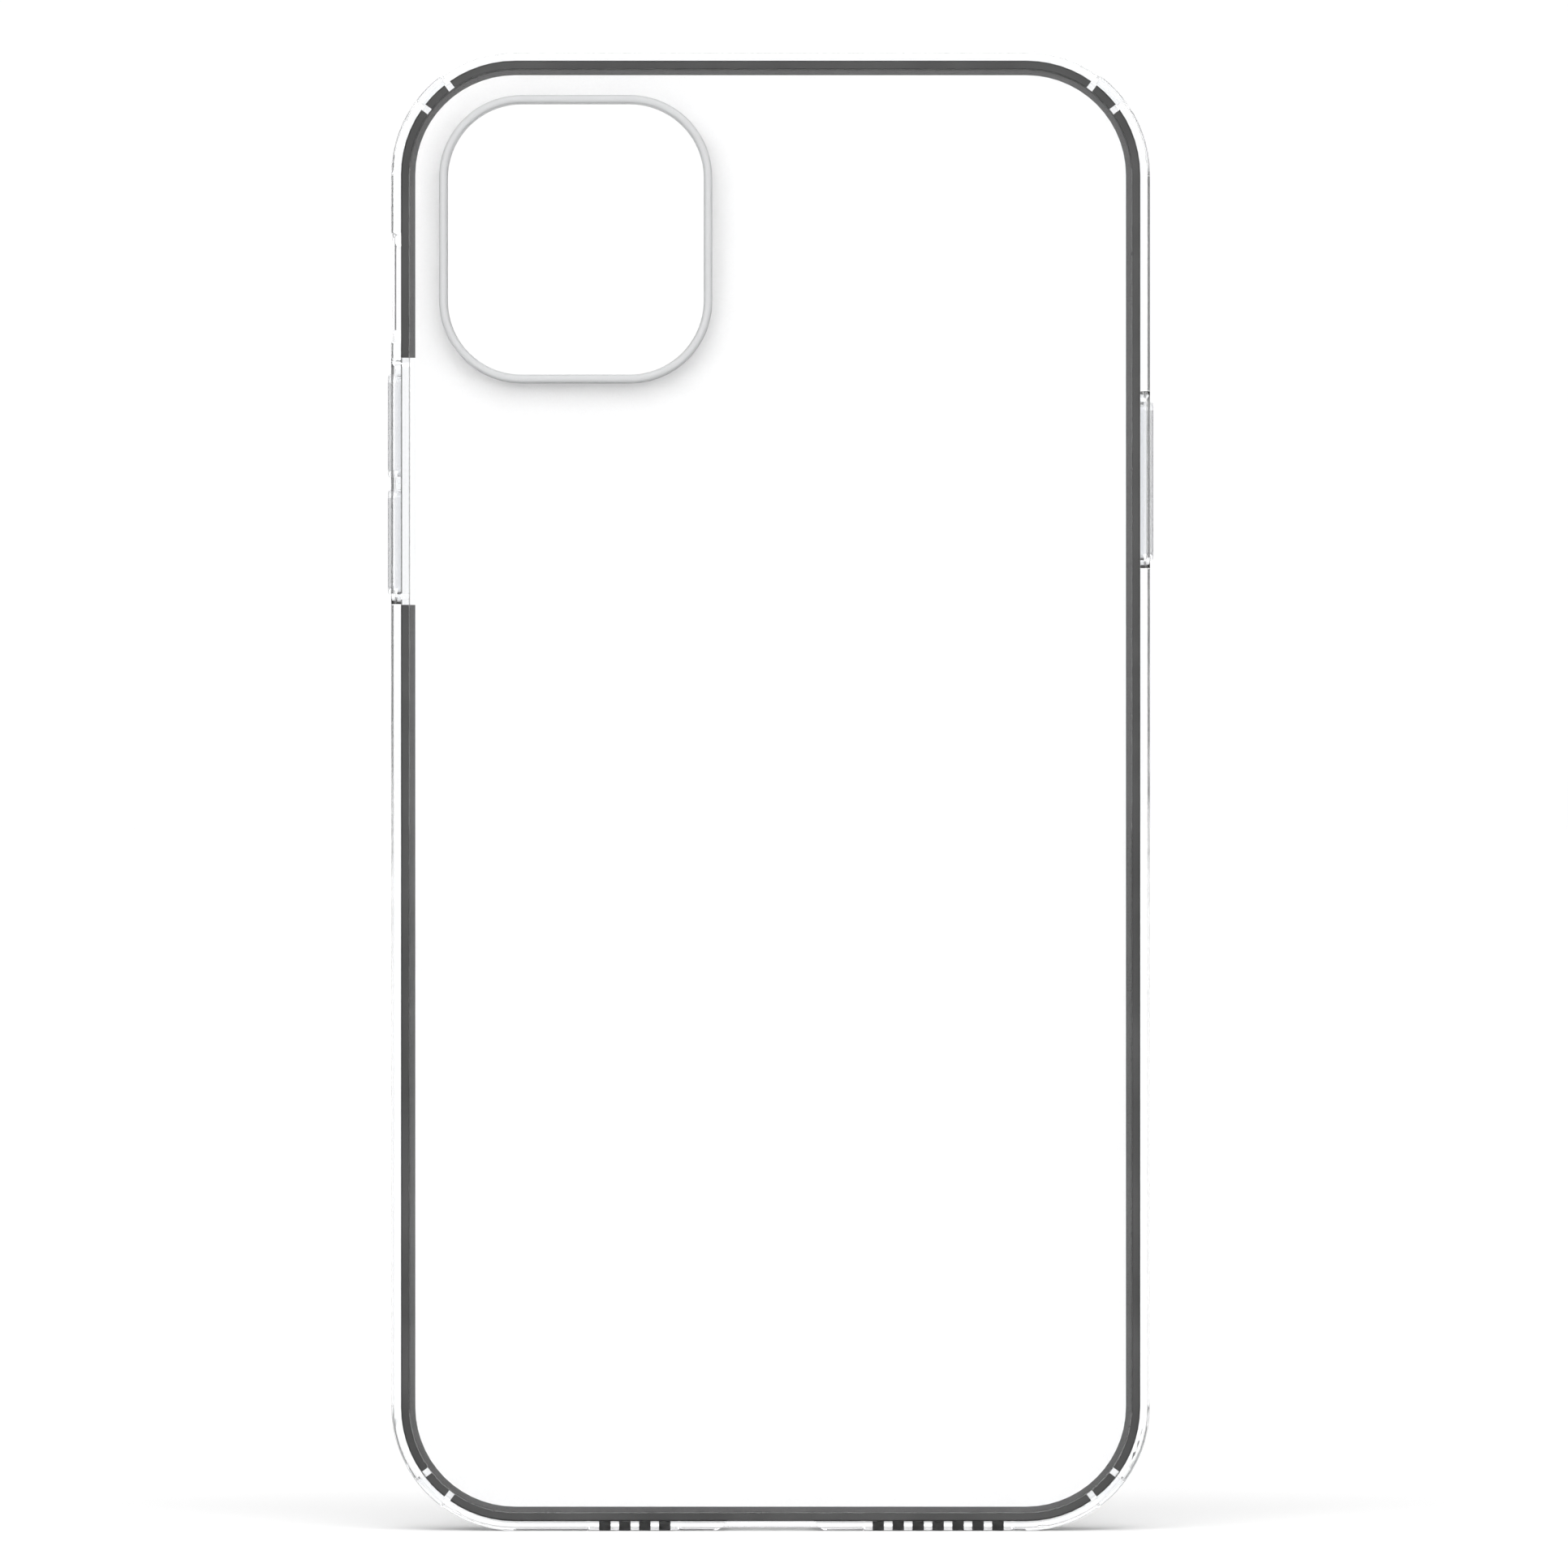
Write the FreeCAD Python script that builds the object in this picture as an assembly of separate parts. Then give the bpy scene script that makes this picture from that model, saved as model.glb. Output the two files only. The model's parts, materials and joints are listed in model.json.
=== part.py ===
import FreeCAD, Part
import math
import os

# A clear protective case for a handset of the 6.7 inch class.
# +Z runs up the case to its camera end, the back faces -Y and the screen side faces +Y.
# The origin is at the middle of the bottom edge that the case stands on. Millimetres.

V = FreeCAD.Vector
X_AXIS = V(1, 0, 0)
Y_AXIS = V(0, 1, 0)
Z_AXIS = V(0, 0, 1)
PAST = 2.0                      # how far a cutting block runs past what it cuts
BOND = 0.02                     # bond line between two pieces that are fixed to each other

# Outline of the pocket and of the wall round it
POCKET_WIDTH = 80.0
POCKET_HEIGHT = 158.0
POCKET_RADIUS = 12.35
WALL = 1.05
CASE_WIDTH = POCKET_WIDTH + 2 * WALL
CASE_HEIGHT = POCKET_HEIGHT + 2 * WALL
CASE_RADIUS = POCKET_RADIUS + WALL
CENTRE_Z = CASE_HEIGHT / 2

# Levels through the thickness, from the back to the screen side
LIP_CREST_Y = -6.05
BACK_Y = -4.05
PLATE_INNER_Y = -3.10
FRAME_INNER_Y = -2.80
POCKET_FLOOR_Y = -2.50
SCREEN_Y = 5.15
FRONT_Y = 6.05

# Dark frame ring round the back, and the clear plate and print that it carries
RING_WIDTH = 1.55
RING_SINK = 0.05                # the ring's back face sits this far under the plate's
RING_BEVEL = 0.14
PLATE_INSET = 0.85              # exposed rim of the ring outside the plate
LEDGE_WIDTH = 2.2               # inner ledge of the bumper that backs the ring
LIP_OVERHANG = 0.8              # front rim over the screen
EDGE_ROUND = 0.6
PLATE_BEVEL = 0.12

# Camera opening
CAMERA_X = -21.07
CAMERA_Z = 139.7
CAMERA_WIDTH = 27.7
CAMERA_HEIGHT = 29.3
CAMERA_RADIUS = 8.0
CAMERA_LIP_WALL = 0.9
CAMERA_LIP_ROUND = 0.4

# Button covers: each name has its side, then its lowest and highest Z
COVERS = {
    "volume_up": (-1, 114.0, 125.2),
    "volume_down": (-1, 101.3, 112.7),
    "side": (1, 105.0, 122.2),
}
COVER_PROUD = 0.4
COVER_HALF_DEPTH = 1.9
COVER_CORNER = 0.9
COVER_ROUND = 0.3
COVER_BACK_GAP = 0.05           # from the cover's inner face to the pocket wall's face
WINDOW_HALF_DEPTH = 2.7
WINDOW_CORNER = 1.2
VOLUME_WINDOW = (-1, 100.2, 126.9)
SIDE_WINDOW = (1, 104.1, 123.4)
VOLUME_SPLIT_Z = (COVERS["volume_down"][2] + COVERS["volume_up"][1]) / 2
WEB_THICKNESS = 0.4

# Cut-outs that leave the front rim whole
CUTOUT_FRONT_Y = 4.3
SILENT_SWITCH = (-1, 128.6, 140.4)
SILENT_CORNER = 1.5
PORT_INNER_HALF = 4.7
PORT_MOUTH_HALF = 7.1

# Sound tunnels through the bottom wall: middle X of the first, number, and the frame round them
TUNNEL_PITCH = 2.16
TUNNEL_WIDTH = 1.2
TUNNEL_HALF_DEPTH = 2.6
TUNNEL_CORNER = 0.5
GRILLES = {
    "mic": {"first_x": -17.95, "count": 4, "frame_x": (-19.7, -9.9)},
    "speaker": {"first_x": 11.66, "count": 7, "frame_x": (10.1, 26.2)},
}
GRILLE_SINK = 0.15
GRILLE_HALF_DEPTH = 3.2
MESH_LOW_Z = 0.25
GROOVE_WIDTH = 0.3
GROOVE_DEPTH = 0.6

# Corner cushions and the keys that lock the ring to the bumper at their ends
CORNER_ANGLES = {"top_right": 45, "top_left": 135, "bottom_left": 225, "bottom_right": 315}
CUSHION_SPREAD = 15.0
CUSHION_SINK = 0.3
CUSHION_BACK_Y = -3.4
CUSHION_FRONT_Y = 4.6
KEY_WIDTH = 0.7
KEY_DEPTH = 0.9
KEY_SPREAD = 17.0


def edges_along(shape, axis):
    """The straight edges of a shape that run along an axis."""
    found = []
    for edge in shape.Edges:
        if isinstance(edge.Curve, Part.Line) and abs(edge.Curve.Direction.dot(axis)) > 0.999:
            found.append(edge)
    return found


def edges_at_y(shape, y):
    """The edges of a shape that lie in the plane at y."""
    return [e for e in shape.Edges if abs(e.BoundBox.YMin - y) < 1e-6 > abs(e.BoundBox.YMax - y)]


def block(low, high, axis, radius):
    """A box between two corners, with its edges along one axis rounded."""
    size = high - low
    box = Part.makeBox(size.x, size.y, size.z, low)
    return box.makeFillet(radius, edges_along(box, axis))


def slab(width, height, radius, low_y, high_y, centre_x=0.0, centre_z=CENTRE_Z):
    """A flat block in the plane of the back, with its four corners rounded."""
    low = V(centre_x - width / 2, low_y, centre_z - height / 2)
    high = V(centre_x + width / 2, high_y, centre_z + height / 2)
    return block(low, high, Y_AXIS, radius)


def inset_slab(inset, low_y, high_y):
    """A slab that follows the pocket's outline, inset by a distance all round."""
    width = POCKET_WIDTH - 2 * inset
    height = POCKET_HEIGHT - 2 * inset
    return slab(width, height, POCKET_RADIUS - inset, low_y, high_y)


def side_block(side, low_z, high_z, low_y, high_y, near, far, radius):
    """A block on one side wall, from near to far out from the middle, rounded along X."""
    x_values = sorted((side * near, side * far))
    return block(V(x_values[0], low_y, low_z), V(x_values[1], high_y, high_z), X_AXIS, radius)


def button_block(span, half_depth, near, far, corner, grow=0.0):
    """A side block for a span of (side, low Z, high Z), grown all round by a distance."""
    side, low_z, high_z = span
    depth = half_depth + grow
    return side_block(side, low_z - grow, high_z + grow, -depth, depth, near, far, corner + grow)


def corner_point(angle, radius, y):
    """A point about the middle of the corner arc that faces an angle, in the XZ plane."""
    turn = math.radians(angle)
    return V(radius * math.cos(turn), y, radius * math.sin(turn))


def corner_middle(angle):
    """The middle of the corner arc in the quarter that an angle points to."""
    side = 1 if math.cos(math.radians(angle)) > 0 else -1
    end = 1 if math.sin(math.radians(angle)) > 0 else -1
    reach_x = POCKET_WIDTH / 2 - POCKET_RADIUS
    reach_z = POCKET_HEIGHT / 2 - POCKET_RADIUS
    return V(side * reach_x, 0, CENTRE_Z + end * reach_z)


def corner_sector(angle, spread, inner, outer, low_y, high_y):
    """A curved block between two radii of a corner, spread evenly about an angle."""
    first = angle - spread / 2
    last = angle + spread / 2
    arcs = [
        Part.Arc(*[corner_point(a, r, low_y) for a in (first, angle, last)]).toShape()
        for r in (inner, outer)
    ]
    ends = [
        Part.LineSegment(corner_point(a, inner, low_y), corner_point(a, outer, low_y)).toShape()
        for a in (first, last)
    ]
    wire = Part.Wire(Part.__sortEdges__(arcs + ends))
    solid = Part.Face(wire).extrude(V(0, high_y - low_y, 0))
    solid.translate(corner_middle(angle))
    return solid


def key_angles():
    """Every key's angle: one at each end of each corner cushion."""
    return [a + s * KEY_SPREAD / 2 for a in CORNER_ANGLES.values() for s in (-1, 1)]


def radial_bar(angle, inner, outer, width, low_y, high_y):
    """A straight bar that points out from a corner's middle at an angle."""
    bar = Part.makeBox(outer - inner, high_y - low_y, width, V(inner, low_y, -width / 2))
    bar.rotate(V(0, 0, 0), Y_AXIS, -angle)
    bar.translate(corner_middle(angle))
    return bar


def all_keys(grow):
    """The clear keys that fill notches in the ring's outer edge, grown to cut the notches."""
    inner = POCKET_RADIUS - KEY_DEPTH - grow
    width = KEY_WIDTH + 2 * grow
    return [
        radial_bar(a, inner, POCKET_RADIUS + WALL / 2, width, BACK_Y, FRAME_INNER_Y)
        for a in key_angles()
    ]


def whole_ring(bond):
    """The ring before its gap and its notches are cut: an outer rim and a ledge for the plate."""
    back_y = BACK_Y + RING_SINK
    ring = inset_slab(bond, back_y, FRAME_INNER_Y - bond)
    ring = ring.makeChamfer(RING_BEVEL, edges_at_y(ring, back_y))
    ring = ring.cut(inset_slab(RING_WIDTH, BACK_Y - PAST, FRAME_INNER_Y + PAST))
    return ring.cut(inset_slab(PLATE_INSET, BACK_Y - PAST, PLATE_INNER_Y + BOND))


def volume_gap(grow):
    """The stretch of the left edge where clear bumper takes the ring's place."""
    side, low_z, high_z = VOLUME_WINDOW
    low = V(-POCKET_WIDTH / 2 - PAST, BACK_Y - PAST, low_z - grow)
    depth = FRAME_INNER_Y - BACK_Y + 2 * PAST
    return Part.makeBox(LEDGE_WIDTH + PAST, depth, high_z - low_z + 2 * grow, low)


def camera_slab(wall, low_y, high_y):
    """A slab about the camera opening, larger than it by a wall all round."""
    return slab(
        CAMERA_WIDTH + 2 * wall, CAMERA_HEIGHT + 2 * wall, CAMERA_RADIUS + wall,
        low_y, high_y, CAMERA_X, CAMERA_Z,
    )


def port_cutter():
    """The charging opening: a bell mouth that widens towards the outside."""
    top = WALL + PAST
    mouth = PORT_MOUTH_HALF
    inner = PORT_INNER_HALF
    bend_x = mouth - (mouth - inner) * math.cos(math.pi / 4)
    bend_z = WALL * (1 - math.sin(math.pi / 4))

    def at(x, z):
        return V(x, BACK_Y - PAST, z)

    edges = [
        Part.LineSegment(at(-inner, top), at(inner, top)),
        Part.LineSegment(at(inner, top), at(inner, WALL)),
        Part.Arc(at(inner, WALL), at(bend_x, bend_z), at(mouth, 0)),
        Part.LineSegment(at(mouth, 0), at(mouth, -PAST)),
        Part.LineSegment(at(mouth, -PAST), at(-mouth, -PAST)),
        Part.LineSegment(at(-mouth, -PAST), at(-mouth, 0)),
        Part.Arc(at(-mouth, 0), at(-bend_x, bend_z), at(-inner, WALL)),
        Part.LineSegment(at(-inner, WALL), at(-inner, top)),
    ]
    wire = Part.Wire([e.toShape() for e in edges])
    return Part.Face(wire).extrude(V(0, CUTOUT_FRONT_Y - BACK_Y + PAST, 0))


def tunnel_block(grille, index, low_z, high_z, bond=0.0):
    """One sound tunnel's space through the bottom wall, shrunk all round by a bond line."""
    x = grille["first_x"] + index * TUNNEL_PITCH
    half_width = TUNNEL_WIDTH / 2 - bond
    half_depth = TUNNEL_HALF_DEPTH - bond
    low = V(x - half_width, -half_depth, low_z)
    high = V(x + half_width, half_depth, high_z)
    return block(low, high, Z_AXIS, TUNNEL_CORNER - bond)


def grille_cutters(grille):
    """A shallow sunk frame in the bottom face, its tunnels, and a groove at each end."""
    low_x, high_x = grille["frame_x"]
    low = V(low_x, -GRILLE_HALF_DEPTH, -PAST)
    high = V(high_x, GRILLE_HALF_DEPTH, GRILLE_SINK)
    cutters = [block(low, high, Z_AXIS, TUNNEL_CORNER)]
    for index in range(grille["count"]):
        cutters.append(tunnel_block(grille, index, -PAST, WALL + PAST))
    for x in (low_x, high_x):
        corner = V(x - GROOVE_WIDTH / 2, BACK_Y - PAST, -PAST)
        cutters.append(Part.makeBox(GROOVE_WIDTH, PAST + GROOVE_DEPTH, PAST + WALL, corner))
    return cutters


def corner_cutters():
    """The seats of the corner cushions, and a fine groove at each end of each cushion."""
    cutters = []
    for angle in CORNER_ANGLES.values():
        cutters.append(corner_sector(
            angle, CUSHION_SPREAD, POCKET_RADIUS, CASE_RADIUS + PAST,
            CUSHION_BACK_Y, CUSHION_FRONT_Y,
        ))
    for angle in key_angles():
        cutters.append(radial_bar(
            angle, POCKET_RADIUS + WALL / 3, CASE_RADIUS + PAST, GROOVE_WIDTH,
            BACK_Y - PAST, BACK_Y + GROOVE_DEPTH,
        ))
    return cutters


def outer_shell():
    """The bumper's outside, rounded along its back and front edges."""
    shell = slab(CASE_WIDTH, CASE_HEIGHT, CASE_RADIUS, BACK_Y, FRONT_Y)
    return shell.makeFillet(EDGE_ROUND, edges_at_y(shell, BACK_Y) + edges_at_y(shell, FRONT_Y))


def make_bumper():
    """The clear soft wall with its front rim, inner ledge, windows and cut-outs."""
    cutters = [
        inset_slab(0, POCKET_FLOOR_Y, SCREEN_Y),
        inset_slab(0, BACK_Y - PAST, FRAME_INNER_Y),
        inset_slab(LEDGE_WIDTH, BACK_Y, POCKET_FLOOR_Y + PAST),
        inset_slab(LIP_OVERHANG, SCREEN_Y - PAST, FRONT_Y + PAST),
        port_cutter(),
    ]
    side, low_z, high_z = SILENT_SWITCH
    cutters.append(side_block(
        side, low_z, high_z, BACK_Y - PAST, CUTOUT_FRONT_Y,
        POCKET_WIDTH / 2, CASE_WIDTH / 2 + PAST, SILENT_CORNER,
    ))
    for window in (VOLUME_WINDOW, SIDE_WINDOW):
        cutters.append(button_block(
            window, WINDOW_HALF_DEPTH, POCKET_WIDTH / 2 - WALL, CASE_WIDTH / 2 + PAST,
            WINDOW_CORNER,
        ))
    for grille in GRILLES.values():
        cutters += grille_cutters(grille)
    bumper = outer_shell().cut(cutters + corner_cutters())
    ring_space = whole_ring(0)
    bridge = ring_space.common(volume_gap(0))
    keys = [key.common(ring_space) for key in all_keys(0)]
    return bumper.fuse([bridge] + keys).removeSplitter()


def make_frame_ring():
    """The dark ring, with its gap at the volume covers and notches for the keys."""
    return whole_ring(BOND).cut([volume_gap(BOND)] + all_keys(BOND))


def make_back_plate():
    """The clear hard plate over the print, with a fine bevel round its back edge."""
    plate = inset_slab(PLATE_INSET + BOND, BACK_Y, PLATE_INNER_Y)
    plate = plate.makeChamfer(PLATE_BEVEL, edges_at_y(plate, BACK_Y))
    return plate.cut(camera_slab(CAMERA_LIP_WALL + BOND, BACK_Y - PAST, PLATE_INNER_Y + PAST))


def make_print_layer():
    """The white printed sheet bonded to the plate's inner face."""
    sheet = inset_slab(RING_WIDTH + BOND, PLATE_INNER_Y + BOND, FRAME_INNER_Y - BOND)
    hole = camera_slab(CAMERA_LIP_WALL + BOND, PLATE_INNER_Y - PAST, FRAME_INNER_Y + PAST)
    return sheet.cut(hole)


def make_camera_lip():
    """The soft raised rim that lines the camera opening."""
    rim = camera_slab(CAMERA_LIP_WALL, LIP_CREST_Y, FRAME_INNER_Y)
    rim = rim.cut(camera_slab(0, LIP_CREST_Y - PAST, FRAME_INNER_Y + PAST))
    return rim.makeFillet(CAMERA_LIP_ROUND, edges_at_y(rim, LIP_CREST_Y))


def make_cover(name):
    """A button cover with its outer edge rounded."""
    near = POCKET_WIDTH / 2 + COVER_BACK_GAP
    far = CASE_WIDTH / 2 + COVER_PROUD
    cover = button_block(COVERS[name], COVER_HALF_DEPTH, near, far, COVER_CORNER)
    outer_x = COVERS[name][0] * far
    rim = [
        e for e in cover.Edges
        if abs(e.BoundBox.XMin - outer_x) < 1e-6 and abs(e.BoundBox.XMax - outer_x) < 1e-6
    ]
    return cover.makeFillet(COVER_ROUND, rim)


def make_web(name, window, low_z, high_z):
    """The thin flexing skin between a cover and its window."""
    near = POCKET_WIDTH / 2
    skin = button_block(
        window, WINDOW_HALF_DEPTH, near, near + WEB_THICKNESS, WINDOW_CORNER, -BOND)
    depth = 2 * WINDOW_HALF_DEPTH
    span = Part.makeBox(2 * CASE_WIDTH, 2 * depth, high_z - low_z, V(-CASE_WIDTH, -depth, low_z))
    hole = button_block(
        COVERS[name], COVER_HALF_DEPTH, near - PAST, near + PAST, COVER_CORNER, BOND)
    return skin.common(span).cut(hole)


def make_cushion(angle):
    """A clear shock cushion set into a corner, a little below the outer surface."""
    inner = POCKET_RADIUS + BOND
    outer = CASE_RADIUS - CUSHION_SINK
    spread = CUSHION_SPREAD - 2 * math.degrees(BOND / POCKET_RADIUS)
    low_y = CUSHION_BACK_Y + BOND
    return corner_sector(angle, spread, inner, outer, low_y, CUSHION_FRONT_Y - BOND)


def make_mesh(grille):
    """The acoustic mesh plugs of one grille, one in each tunnel."""
    plugs = []
    for index in range(grille["count"]):
        plugs.append(tunnel_block(grille, index, MESH_LOW_Z, WALL, BOND))
    return Part.makeCompound(plugs)


def make_all():
    """Every node of the case by name."""
    window_low, window_high = VOLUME_WINDOW[1:]
    nodes = {
        "bumper": make_bumper(),
        "frame_ring": make_frame_ring(),
        "back_plate": make_back_plate(),
        "print_layer": make_print_layer(),
        "camera_lip": make_camera_lip(),
        "volume_up_web": make_web(
            "volume_up", VOLUME_WINDOW, VOLUME_SPLIT_Z + BOND / 2, window_high),
        "volume_down_web": make_web(
            "volume_down", VOLUME_WINDOW, window_low, VOLUME_SPLIT_Z - BOND / 2),
        "side_web": make_web("side", SIDE_WINDOW, SIDE_WINDOW[1], SIDE_WINDOW[2]),
    }
    for name in COVERS:
        nodes[name + "_cover"] = make_cover(name)
    for name, angle in CORNER_ANGLES.items():
        nodes["corner_cushion_" + name] = make_cushion(angle)
    for name, grille in GRILLES.items():
        nodes[name + "_mesh"] = make_mesh(grille)
    return nodes


def main():
    os.makedirs("parts", exist_ok=True)
    for name, shape in make_all().items():
        shape.exportStep("parts/" + name + ".step")
        print(name, len(shape.Solids), "solid(s)", round(shape.Volume, 1), "mm3", shape.isValid())


main()
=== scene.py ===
import json
import math

import bmesh
import bpy
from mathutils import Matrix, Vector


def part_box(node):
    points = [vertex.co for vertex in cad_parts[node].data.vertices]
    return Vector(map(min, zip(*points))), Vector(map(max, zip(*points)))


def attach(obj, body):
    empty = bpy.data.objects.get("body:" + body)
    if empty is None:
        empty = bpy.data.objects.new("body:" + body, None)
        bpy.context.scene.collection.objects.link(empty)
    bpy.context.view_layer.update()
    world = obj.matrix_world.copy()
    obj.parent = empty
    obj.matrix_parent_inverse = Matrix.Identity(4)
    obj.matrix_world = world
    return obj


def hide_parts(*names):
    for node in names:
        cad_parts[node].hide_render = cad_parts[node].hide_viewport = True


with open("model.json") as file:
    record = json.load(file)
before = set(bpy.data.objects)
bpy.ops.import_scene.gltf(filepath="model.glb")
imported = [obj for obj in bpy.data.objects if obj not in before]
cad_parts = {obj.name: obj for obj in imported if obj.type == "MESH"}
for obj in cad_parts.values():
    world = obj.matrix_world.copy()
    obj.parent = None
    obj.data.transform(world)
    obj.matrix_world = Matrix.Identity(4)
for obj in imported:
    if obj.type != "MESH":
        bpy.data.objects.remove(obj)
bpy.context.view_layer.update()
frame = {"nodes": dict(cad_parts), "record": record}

MM = 0.001
SAME_PLACE = 1e-6
CASE = "case"

# The camera looks square at the back from far off, with the case filling most of the height
FRAME_WIDTH = 169.6 * MM
LENS_MM = 400.0
SENSOR_MM = 36.0
CLIP_START, CLIP_END = 0.05, 50
VIEW_OFFSET_X = 1.45 * MM
VIEW_CENTRE_Z = 80.8 * MM

# Levels of the white studio
FRONT_LEVEL = 3.0
BACK_LEVEL = 1.02
FLAG_LEVEL = 0.12
BEHIND_LEVEL = 0.4

# Where they change, by a direction's Y: -1 is behind the camera and 1 straight beyond the case
BEHIND_FADE = (-0.99, -0.96)
FRONT_FADE = (-0.45, -0.25)
FLAGS_FRONT_FADE = (-0.42, -0.30)
FLAGS_SIDE_FADE = (0.10, 0.22)
FLAGS_BACK_FADE = (0.965, 0.985)

# Soft distant lights: degrees from straight overhead, minus being beyond the case, and strength
SUN_SPREAD = math.radians(60)
SUNS = {"overhead": (12, 0.6), "rear": (-52, 1.1)}

# Square lights in front: place and watts
FRONT_LIGHT_SIZE = 1.0
FRONT_LIGHTS = {"front_left": ((-0.9, -1.6, 0.75), 2.5), "front_right": ((1.0, -1.6, 0.5), 2.0)}

FLOOR_RADIUS = 30.0
FLOOR_SIDES = 96
FLOOR_GREY = 0.745

# Light meets many clear surfaces, one behind another
MAX_BOUNCES = 24
GLOSSY_BOUNCES = 8

# The acoustic cloth: plugs grown into the walls that they are moulded in, with their backing above
# the weave of their open lower faces
PLUG_GROWTH = 0.03 * MM
THREAD_PITCH = 0.3 * MM
THREAD_RADIUS = 0.075 * MM
THREAD_FLATNESS = 0.6
WEAVE_HEIGHT = 2 * THREAD_RADIUS
BACKING_HEIGHT = 3 * THREAD_RADIUS

# The mould's parting line: a fine ridge round the wall, between the cut-outs and the front rim. Its
# section is in millimetres, outward and along the depth, and its angles are in degrees.
WALL_RADIUS = 13.4 * MM
LINE_FROM_FRONT = 1.15 * MM
LINE_SECTION = [(-0.03, -0.10), (0.04, -0.03), (0.04, 0.03), (-0.03, 0.10)]
LINE_LOWEST_ANGLE = 78
ARC_STEP = 6


# ---------------------------------------------------------------- materials

def set_inputs(node, **values):
    """Sets a node's own sockets; underscores in the names stand for spaces."""
    for name, value in values.items():
        node.inputs[name.replace("_", " ")].default_value = value


def new_material(name, **values):
    """A material with the given values on its Principled shader."""
    material = bpy.data.materials.new(name)
    material.use_nodes = True
    shader = material.node_tree.nodes["Principled BSDF"]
    set_inputs(shader, **values)
    return material, shader


def add_node(material, kind, **values):
    node = material.node_tree.nodes.new(kind)
    set_inputs(node, **values)
    return node


def link(material, source, target):
    material.node_tree.links.new(source, target)


def object_noise(material, size, detail=2.0, stretch=(1, 1, 1)):
    """Noise fixed to the object, with features of a size in metres."""
    place = add_node(material, "ShaderNodeTexCoord")
    mapping = add_node(material, "ShaderNodeMapping", Scale=stretch)
    noise = add_node(material, "ShaderNodeTexNoise", Scale=1 / size, Detail=detail)
    link(material, place.outputs["Object"], mapping.inputs["Vector"])
    link(material, mapping.outputs["Vector"], noise.inputs["Vector"])
    return noise.outputs["Fac"]


def spread(material, source, target, low, high, at=(0.35, 0.65)):
    """Spreads a value between two greys, for a colour or a roughness."""
    node = add_node(material, "ShaderNodeValToRGB")
    for element, place, grey in zip(node.color_ramp.elements, at, (low, high)):
        element.position = place
        element.color = (grey, grey, grey, 1)
    link(material, source, node.inputs["Fac"])
    link(material, node.outputs["Color"], target)


def bump(material, shader, source, depth, strength):
    node = add_node(material, "ShaderNodeBump", Strength=strength, Distance=depth)
    link(material, source, node.inputs["Height"])
    link(material, node.outputs["Normal"], shader.inputs["Normal"])


def clear_soft_material():
    """Clear cast soft plastic: slightly rippled, with faint rub marks."""
    material, shader = new_material(
        "clear_soft", Base_Color=(0.955, 0.96, 0.967, 1), IOR=1.49, Transmission_Weight=1.0)
    rub = object_noise(material, 2.5 * MM, detail=4.0, stretch=(1, 1, 0.4))
    spread(material, rub, shader.inputs["Roughness"], 0.02, 0.07)
    ripple = object_noise(material, 6 * MM, detail=1.0)
    bump(material, shader, ripple, depth=0.03 * MM, strength=0.4)
    return material


def clear_cover_material():
    """The covers' clear soft plastic, a shade smokier than the wall's."""
    material, shader = new_material(
        "clear_cover", Base_Color=(0.83, 0.832, 0.84, 1), IOR=1.49, Transmission_Weight=1.0)
    rub = object_noise(material, 1.5 * MM, detail=4.0, stretch=(1, 1, 0.4))
    spread(material, rub, shader.inputs["Roughness"], 0.02, 0.06)
    return material


def clear_plate_material():
    """Clear hard plastic: flat and glossy, with fine hairline scratches."""
    material, shader = new_material(
        "clear_plate", Base_Color=(0.992, 0.992, 0.994, 1), IOR=1.54, Transmission_Weight=1.0)
    hair = object_noise(material, 0.6 * MM, detail=3.0, stretch=(1, 1, 0.02))
    spread(material, hair, shader.inputs["Roughness"], 0.01, 0.06, at=(0.45, 0.75))
    return material


def white_print_material():
    """White printed sheet: even, with the faint grain of the print."""
    material, shader = new_material("white_print", Roughness=0.5)
    grain = object_noise(material, 0.15 * MM)
    spread(material, grain, shader.inputs["Base Color"], 0.93, 0.96)
    bump(material, shader, grain, depth=0.004 * MM, strength=0.3)
    return material


def dark_frame_material():
    """Dark grey moulded plastic with a fine satin texture."""
    material, shader = new_material("dark_frame", Specular_IOR_Level=0.25)
    cloud = object_noise(material, 9 * MM, detail=3.0)
    spread(material, cloud, shader.inputs["Base Color"], 0.026, 0.04)
    satin = object_noise(material, 0.12 * MM)
    spread(material, satin, shader.inputs["Roughness"], 0.32, 0.48)
    bump(material, shader, satin, depth=0.006 * MM, strength=0.4)
    return material


def frosted_soft_painted_shade_material():
    """Frosted translucent soft plastic. Its mid grey is partly painted shade: darker than the
    plastic's own, to stand in for the soft shadow round the camera opening.
    """
    # Painted shade: the 0.5 base grey darkens the frosted plastic to look like the soft shadow
    # round the camera opening
    material, shader = new_material(
        "frosted_soft", Base_Color=(0.5, 0.505, 0.51, 1), IOR=1.45, Transmission_Weight=0.45)
    frost = object_noise(material, 0.2 * MM)
    spread(material, frost, shader.inputs["Roughness"], 0.38, 0.55)
    bump(material, shader, frost, depth=0.008 * MM, strength=0.4)
    return material


def black_mesh_material():
    """Black acoustic cloth."""
    material, shader = new_material("black_mesh", Roughness=0.85, Specular_IOR_Level=0.1)
    fibres = object_noise(material, 0.1 * MM)
    spread(material, fibres, shader.inputs["Base Color"], 0.004, 0.015)
    return material


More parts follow.
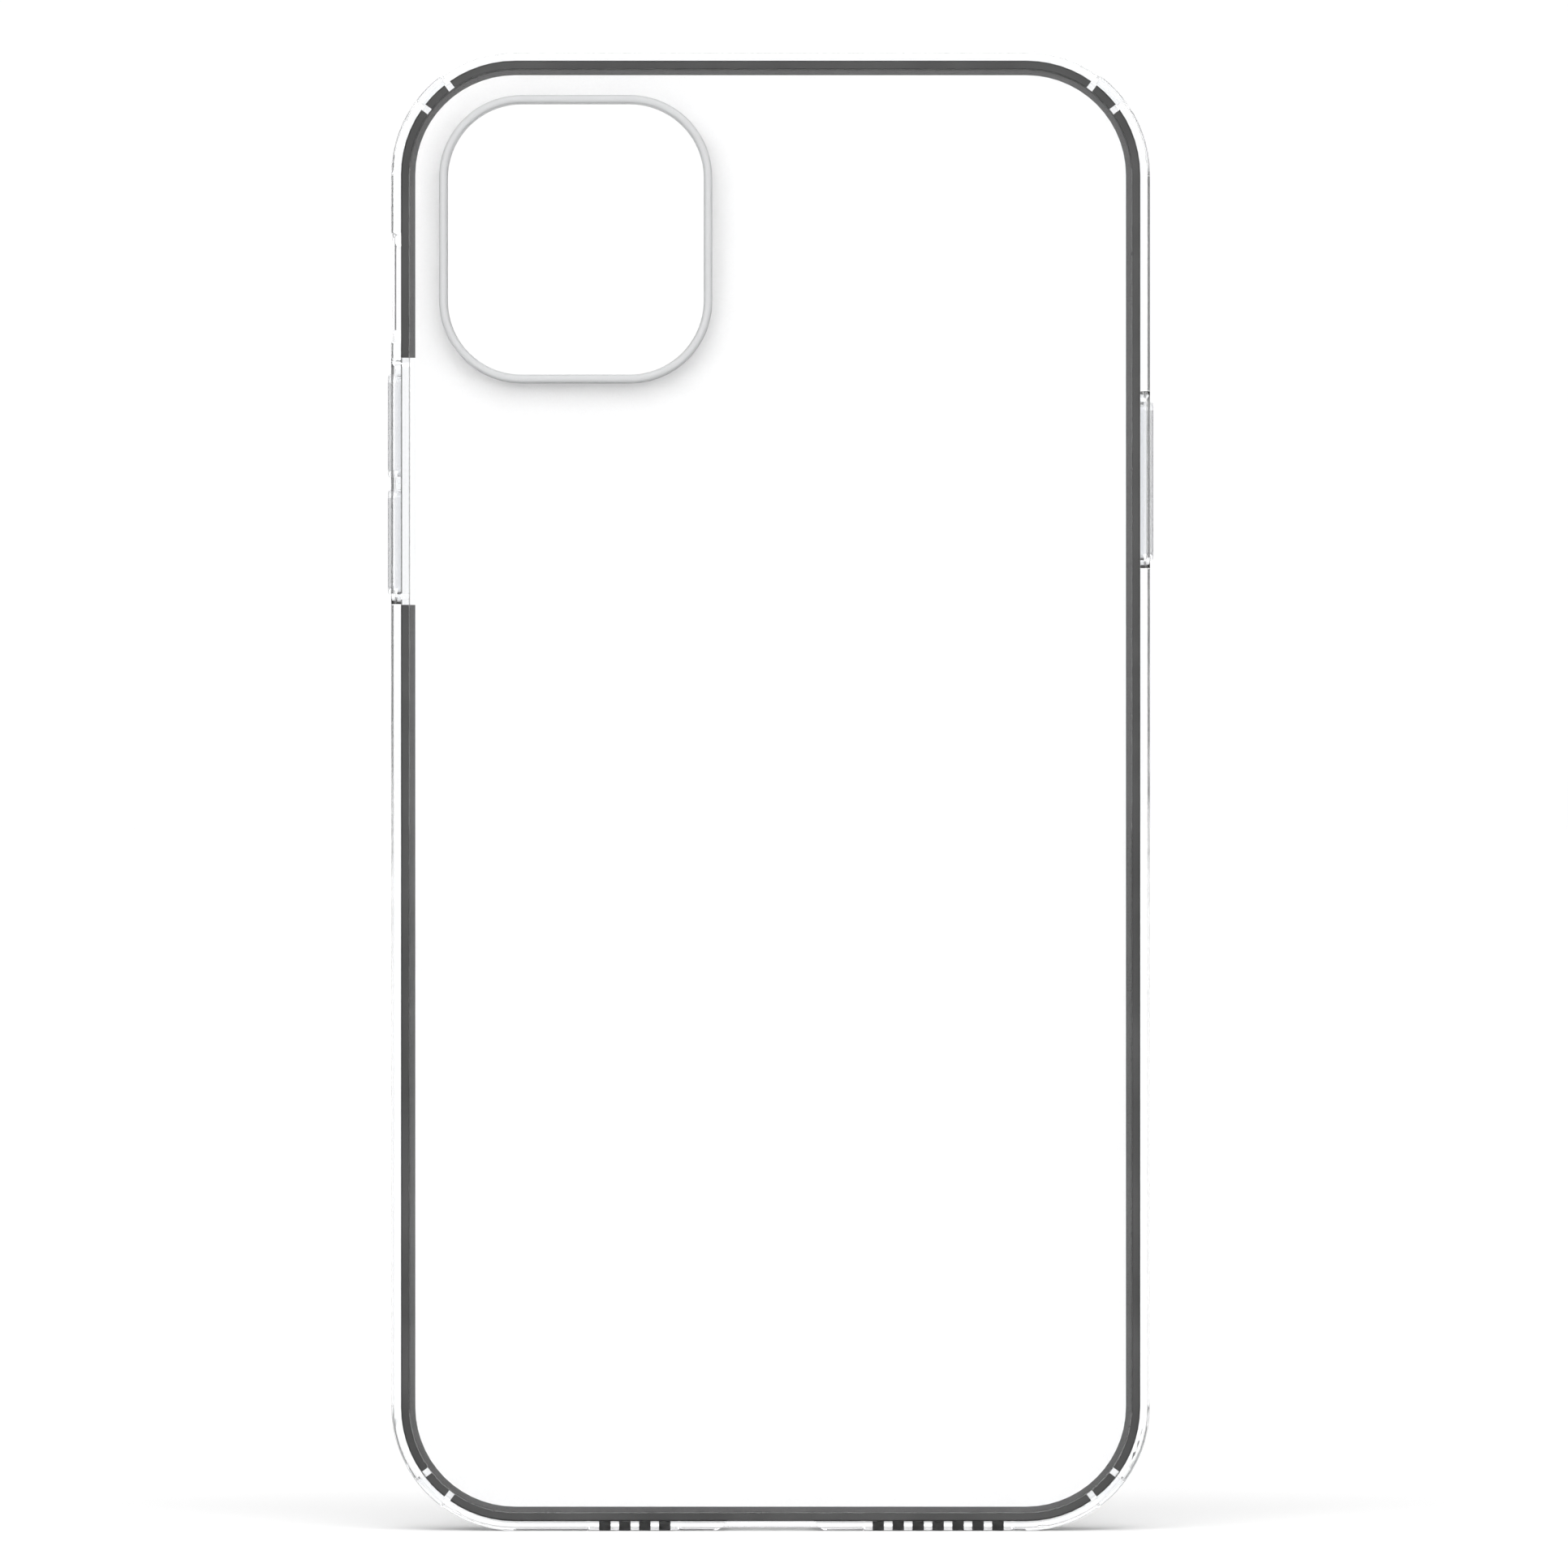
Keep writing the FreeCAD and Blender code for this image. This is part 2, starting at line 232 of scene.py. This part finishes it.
def finish_nodes():
    """Gives each CAD node the material of its slot."""
    makers = {
        "clear_soft": clear_soft_material,
        "clear_cover": clear_cover_material,
        "clear_plate": clear_plate_material,
        "white_print": white_print_material,
        "dark_frame": dark_frame_material,
        "frosted_soft": frosted_soft_painted_shade_material,
        "black_mesh": black_mesh_material,
    }
    materials = {slot: make() for slot, make in makers.items()}
    for part in frame["record"]["subparts"]:
        mesh = frame["nodes"][part["node"]].data
        mesh.materials.clear()
        mesh.materials.append(materials[part["material_slot"]])
    return materials


# ---------------------------------------------------------------- pieces

def close_tube(form, rings):
    """Joins rings of points into one closed tube."""
    count = len(rings[0])
    for one, two in zip(rings, rings[1:]):
        for i in range(count):
            form.faces.new((one[i], one[(i + 1) % count], two[(i + 1) % count], two[i]))
    form.faces.new(rings[0][::-1])
    form.faces.new(rings[-1])


def add_piece(form, name, material):
    """Turns a finished form into a piece of the case."""
    bmesh.ops.recalc_face_normals(form, faces=form.faces)
    mesh = bpy.data.meshes.new(name)
    form.to_mesh(mesh)
    form.free()
    mesh.materials.append(material)
    piece = bpy.data.objects.new(name, mesh)
    bpy.context.collection.objects.link(piece)
    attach(piece, CASE)
    return piece


# ---------------------------------------------------------------- acoustic cloth

def islands(mesh):
    """The lowest and highest corners of each separate solid in a mesh, from left to right."""
    form = bmesh.new()
    form.from_mesh(mesh)
    bmesh.ops.remove_doubles(form, verts=form.verts, dist=SAME_PLACE)
    unseen = set(form.verts)
    found = []
    while unseen:
        group, frontier = [], [unseen.pop()]
        while frontier:
            vert = frontier.pop()
            group.append(vert.co.copy())
            near = {other for edge in vert.link_edges for other in edge.verts} & unseen
            unseen -= near
            frontier.extend(near)
        found.append([
            Vector([pick(point[i] for point in group) for i in range(3)])
            for pick in (min, max)
        ])
    form.free()
    return sorted(found, key=lambda corners: corners[0].x)


def add_block(form, low, high):
    """A box with slightly rounded upright edges."""
    verts = bmesh.ops.create_cube(form, size=1)["verts"]
    for vert in verts:
        vert.co = Vector([a + (b - a) * (c + 0.5) for a, b, c in zip(low, high, vert.co)])
    edges = dict.fromkeys(edge for vert in verts for edge in vert.link_edges)
    upright = [e for e in edges if abs(e.verts[0].co.z - e.verts[1].co.z) > SAME_PLACE]
    bmesh.ops.bevel(form, geom=upright, offset=THREAD_RADIUS, segments=2, affect="EDGES")


def add_thread(form, start, end, phase):
    """A diamond-section thread that goes over and under the threads across it."""
    run = end - start
    across = Vector((0, 0, 1)).cross(run.normalized())
    upward = Vector((0, 0, THREAD_FLATNESS))
    steps = 2 * max(1, round(run.length / THREAD_PITCH))
    rings = []
    for i in range(steps + 1):
        wave = math.sin(math.pi * (i * run.length / steps / THREAD_PITCH + phase))
        middle = start + run * (i / steps) + Vector((0, 0, wave * THREAD_RADIUS / 2))
        rings.append([
            form.verts.new(middle + corner * THREAD_RADIUS)
            for corner in (across, upward, -across, -upward)
        ])
    close_tube(form, rings)


def add_weave(form, low, high):
    """Threads both ways over the open lower face of one plug."""
    level = low.z + WEAVE_HEIGHT
    for long_way, cross_way in ((0, 1), (1, 0)):
        span = high[cross_way] - low[cross_way]
        count = max(2, round(span / THREAD_PITCH))
        for i in range(count):
            start, end = Vector((0, 0, level)), Vector((0, 0, level))
            start[long_way], end[long_way] = low[long_way], high[long_way]
            start[cross_way] = end[cross_way] = low[cross_way] + span * (i + 0.5) / count
            add_thread(form, start, end, i % 2 + 0.5 * long_way)


def woven_plugs(node, material):
    """The cloth plugs of one grille, which fill their tunnels with no gap."""
    sideways = Vector((PLUG_GROWTH, PLUG_GROWTH, 0))
    form = bmesh.new()
    for low, high in islands(frame["nodes"][node].data):
        add_weave(form, low, high)
        bottom = low - sideways + Vector((0, 0, BACKING_HEIGHT))
        add_block(form, bottom, high + sideways + Vector((0, 0, PLUG_GROWTH)))
    piece = add_piece(form, node + "_woven", material)
    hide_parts(node)


# ---------------------------------------------------------------- parting line

def wall_rays():
    """Points up the wall's left side, over the top and down the right, with outward directions."""
    low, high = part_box("bumper")
    left, right = low.x + WALL_RADIUS, high.x - WALL_RADIUS
    bottom, top = low.z + WALL_RADIUS, high.z - WALL_RADIUS
    corners = [
        (left, bottom, 180 + LINE_LOWEST_ANGLE, 180),
        (left, top, 180, 90),
        (right, top, 90, 0),
        (right, bottom, 0, -LINE_LOWEST_ANGLE),
    ]
    rays = []
    for x, z, first, last in corners:
        for angle in range(first, last - 1, -ARC_STEP):
            turn = math.radians(angle)
            outward = Vector((math.cos(turn), 0, math.sin(turn)))
            rays.append((Vector((x, 0, z)) + outward * WALL_RADIUS, outward))
    return rays


def parting_line(material):
    """The fine ridge that the mould leaves where its halves meet. It stops short of the bottom."""
    line_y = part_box("bumper")[1].y - LINE_FROM_FRONT
    form = bmesh.new()
    rings = []
    for point, outward in wall_rays():
        rings.append([
            form.verts.new(point + outward * out * MM + Vector((0, line_y + along * MM, 0)))
            for out, along in LINE_SECTION
        ])
    close_tube(form, rings)
    add_piece(form, "parting_line", material)


# ---------------------------------------------------------------- stage

def add_object(name, data):
    thing = bpy.data.objects.new(name, data)
    bpy.context.collection.objects.link(thing)
    return thing


def add_camera():
    data = bpy.data.cameras.new("camera")
    data.lens = LENS_MM
    data.sensor_width = SENSOR_MM
    data.clip_start, data.clip_end = CLIP_START, CLIP_END
    camera = add_object("camera", data)
    distance = FRAME_WIDTH * LENS_MM / SENSOR_MM
    back_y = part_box("back_plate")[0].y
    camera.location = (VIEW_OFFSET_X, back_y - distance, VIEW_CENTRE_Z)
    camera.rotation_euler = (math.radians(90), 0, 0)
    bpy.context.scene.camera = camera


def add_floor():
    """A wide pale floor."""
    mesh = bpy.data.meshes.new("floor")
    form = bmesh.new()
    bmesh.ops.create_circle(form, cap_ends=True, radius=FLOOR_RADIUS, segments=FLOOR_SIDES)
    form.to_mesh(mesh)
    form.free()
    material, _ = new_material(
        "pale_floor", Base_Color=(FLOOR_GREY, FLOOR_GREY, FLOOR_GREY, 1), Roughness=1.0,
        Specular_IOR_Level=0.0)
    mesh.materials.append(material)
    add_object("floor", mesh)


def fade(tree, source, span, low, high):
    """Turns a value into low before a span, high after it, and a smooth change within it."""
    node = tree.nodes.new("ShaderNodeMapRange")
    node.interpolation_type = "SMOOTHSTEP"
    set_inputs(node, From_Min=span[0], From_Max=span[1], To_Min=low, To_Max=high)
    tree.links.new(source, node.inputs["Value"])
    return node.outputs[0]


def math_node(tree, operation, *sources):
    node = tree.nodes.new("ShaderNodeMath")
    node.operation = operation
    for socket, source in zip(node.inputs, sources):
        tree.links.new(source, socket)
    return node.outputs[0]


def add_world():
    """A white studio, brighter on the camera's side and dimmer straight behind the camera.

    Dark flags stand round the back and the sides, just outside what a camera sees past the case
    from behind or from the side, and draw the edges of its clear pieces.
    """
    world = bpy.data.worlds.new("studio")
    bpy.context.scene.world = world
    world.use_nodes = True
    tree = world.node_tree
    place = tree.nodes.new("ShaderNodeTexCoord")
    split = tree.nodes.new("ShaderNodeSeparateXYZ")
    tree.links.new(place.outputs["Generated"], split.inputs[0])
    along = split.outputs["Y"]
    past_sides = fade(tree, math_node(tree, "ABSOLUTE", along), FLAGS_SIDE_FADE, 0, 1)
    past_front = fade(tree, along, FLAGS_FRONT_FADE, 0, 1)
    before_back = fade(tree, along, FLAGS_BACK_FADE, 1, 0)
    between = math_node(tree, "MULTIPLY", past_front, before_back)
    flags = fade(tree, math_node(tree, "MULTIPLY", past_sides, between), (0, 1), 1, FLAG_LEVEL)
    front = fade(tree, along, FRONT_FADE, FRONT_LEVEL, BACK_LEVEL)
    behind = fade(tree, along, BEHIND_FADE, BEHIND_LEVEL, 1)
    level = math_node(tree, "MULTIPLY", flags, math_node(tree, "MULTIPLY", front, behind))
    tree.links.new(level, tree.nodes["Background"].inputs["Color"])


def add_lights():
    for name, (tilt, strength) in SUNS.items():
        data = bpy.data.lights.new(name, "SUN")
        data.energy = strength
        data.angle = SUN_SPREAD
        add_object(name, data).rotation_euler = (math.radians(tilt), 0, 0)
    for name, (place, watts) in FRONT_LIGHTS.items():
        data = bpy.data.lights.new(name, "AREA")
        data.size = FRONT_LIGHT_SIZE
        data.energy = watts
        light = add_object(name, data)
        light.location = place
        direction = Vector((0, 0, VIEW_CENTRE_Z)) - light.location
        light.rotation_euler = direction.to_track_quat("-Z", "Y").to_euler()


def set_stage():
    add_camera()
    add_floor()
    add_world()
    add_lights()
    scene = bpy.context.scene
    scene.view_settings.view_transform = "Standard"
    scene.cycles.max_bounces = MAX_BOUNCES
    scene.cycles.transmission_bounces = MAX_BOUNCES
    scene.cycles.glossy_bounces = GLOSSY_BOUNCES


# ---------------------------------------------------------------- build

set_stage()
materials = finish_nodes()
for grille in ("mic_mesh", "speaker_mesh"):
    woven_plugs(grille, materials["black_mesh"])
parting_line(materials["clear_soft"])
